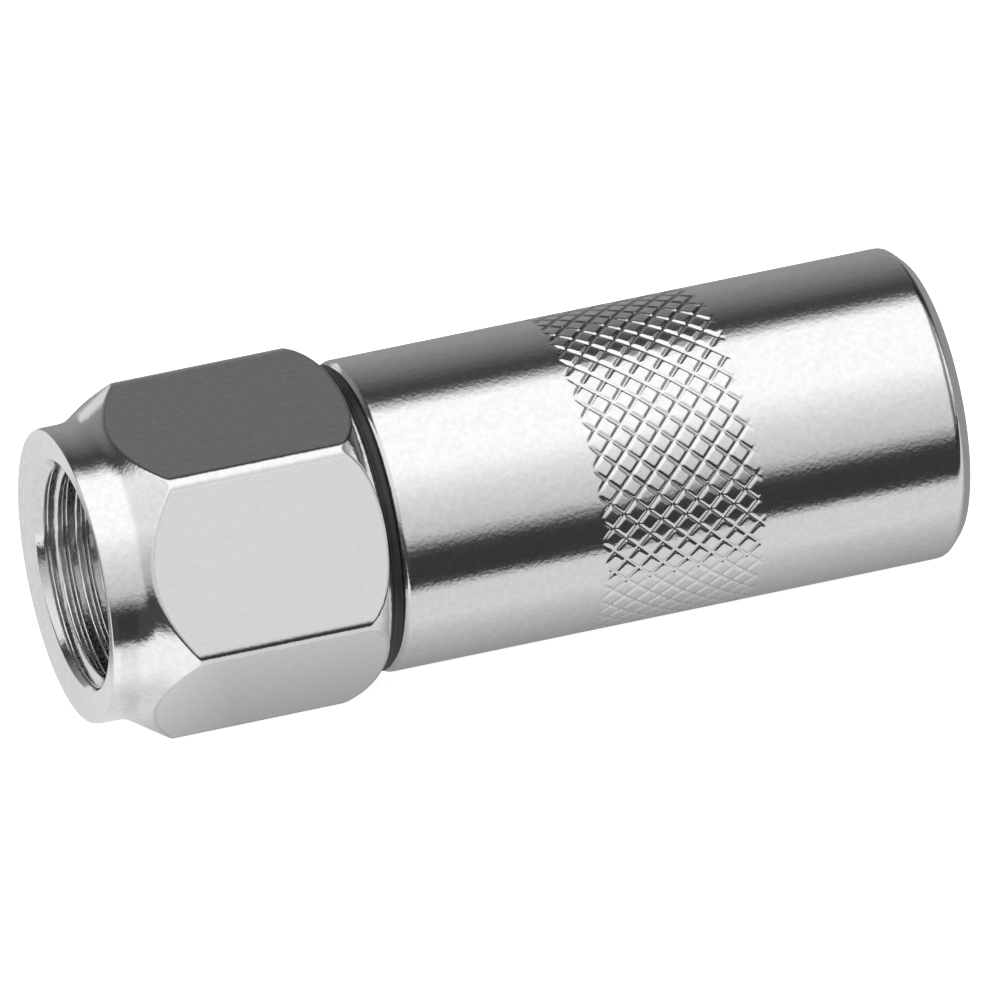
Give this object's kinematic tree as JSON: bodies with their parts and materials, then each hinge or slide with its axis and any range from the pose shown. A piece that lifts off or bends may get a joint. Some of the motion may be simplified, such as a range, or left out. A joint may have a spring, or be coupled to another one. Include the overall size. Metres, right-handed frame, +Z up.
{
  "type": "grease coupler",
  "caption": "Hydraulic grease coupler: spanner hex with a threaded inlet, knurled screw sleeve, and spring-loaded jaws that grip a grease nipple.",
  "frame": {"origin": "centre of the inlet end face, on the axis", "axes": "+X along the axis from the inlet to the gripping mouth, +Z up with the coupler lying on a hex flat, +Y across two hex corners"},
  "size_m": [0.0428, 0.0172, 0.015],
  "materials": {
    "plated_hex": "bright nickel plate over machined steel, satin on the flats",
    "plated_sleeve": "bright nickel plate, polished, with a rolled diamond knurl",
    "black_rubber": "smooth black rubber",
    "seal_rubber": "matt black rubber",
    "jaw_steel": "hardened dark steel, oiled",
    "turned_steel": "fine turned steel",
    "spring_wire": "drawn spring wire",
    "ball_steel": "polished bearing ball",
    "brass": "plain turned brass"
  },
  "bodies": {
    "adapter": {"hex_adapter": "plated_hex", "valve_retainer": "brass", "check_spring": "spring_wire", "piston_spring": "spring_wire"},
    "collar": {"collar_seal": "black_rubber"},
    "sleeve": {"knurled_sleeve": "plated_sleeve"},
    "piston": {"seal_piston": "turned_steel", "piston_o_ring": "black_rubber", "nipple_seal": "seal_rubber", "seal_washer": "brass"},
    "ball": {"check_ball": "ball_steel"},
    "jaw_1": {"jaw_1": "jaw_steel"},
    "jaw_2": {"jaw_2": "jaw_steel"},
    "jaw_3": {"jaw_3": "jaw_steel"},
    "jaw_4": {"jaw_4": "jaw_steel"}
  },
  "joints": [
    {"name": "sleeve_turn", "type": "hinge", "parent": "adapter", "child": "collar", "pos_m": [0.014, 0, 0], "axis": [1, 0, 0], "range_deg": [0, 2161]},
    {"name": "screw_advance", "type": "slide", "parent": "collar", "child": "sleeve", "axis": [1, 0, 0], "range_m": [0, 0.006]},
    {"name": "piston_push", "type": "slide", "parent": "sleeve", "child": "piston", "axis": [-1, 0, 0], "range_m": [0, 0.0019], "stiffness_N_per_m": 3000, "deforming": ["piston_spring"]},
    {"name": "jaw_1_spread", "type": "slide", "parent": "sleeve", "child": "jaw_1", "axis": [-0.9659, 0.183, 0.183], "range_m": [0, 0.00197]},
    {"name": "jaw_2_spread", "type": "slide", "parent": "sleeve", "child": "jaw_2", "axis": [-0.9659, -0.183, 0.183], "range_m": [0, 0.00197]},
    {"name": "jaw_3_spread", "type": "slide", "parent": "sleeve", "child": "jaw_3", "axis": [-0.9659, -0.183, -0.183], "range_m": [0, 0.00197]},
    {"name": "jaw_4_spread", "type": "slide", "parent": "sleeve", "child": "jaw_4", "axis": [-0.9659, 0.183, -0.183], "range_m": [0, 0.00197]},
    {"name": "ball_lift", "type": "slide", "parent": "adapter", "child": "ball", "axis": [1, 0, 0], "range_m": [0, 0.0012], "stiffness_N_per_m": 100, "deforming": ["check_spring"]}
  ],
  "couplings": [
    {"joint": "sleeve_turn", "follows": "screw_advance", "rad_per_m": 6283.2},
    {"joint": "jaw_1_spread", "follows": "piston_push", "ratio": 1.0353},
    {"joint": "jaw_2_spread", "follows": "piston_push", "ratio": 1.0353},
    {"joint": "jaw_3_spread", "follows": "piston_push", "ratio": 1.0353},
    {"joint": "jaw_4_spread", "follows": "piston_push", "ratio": 1.0353}
  ]
}
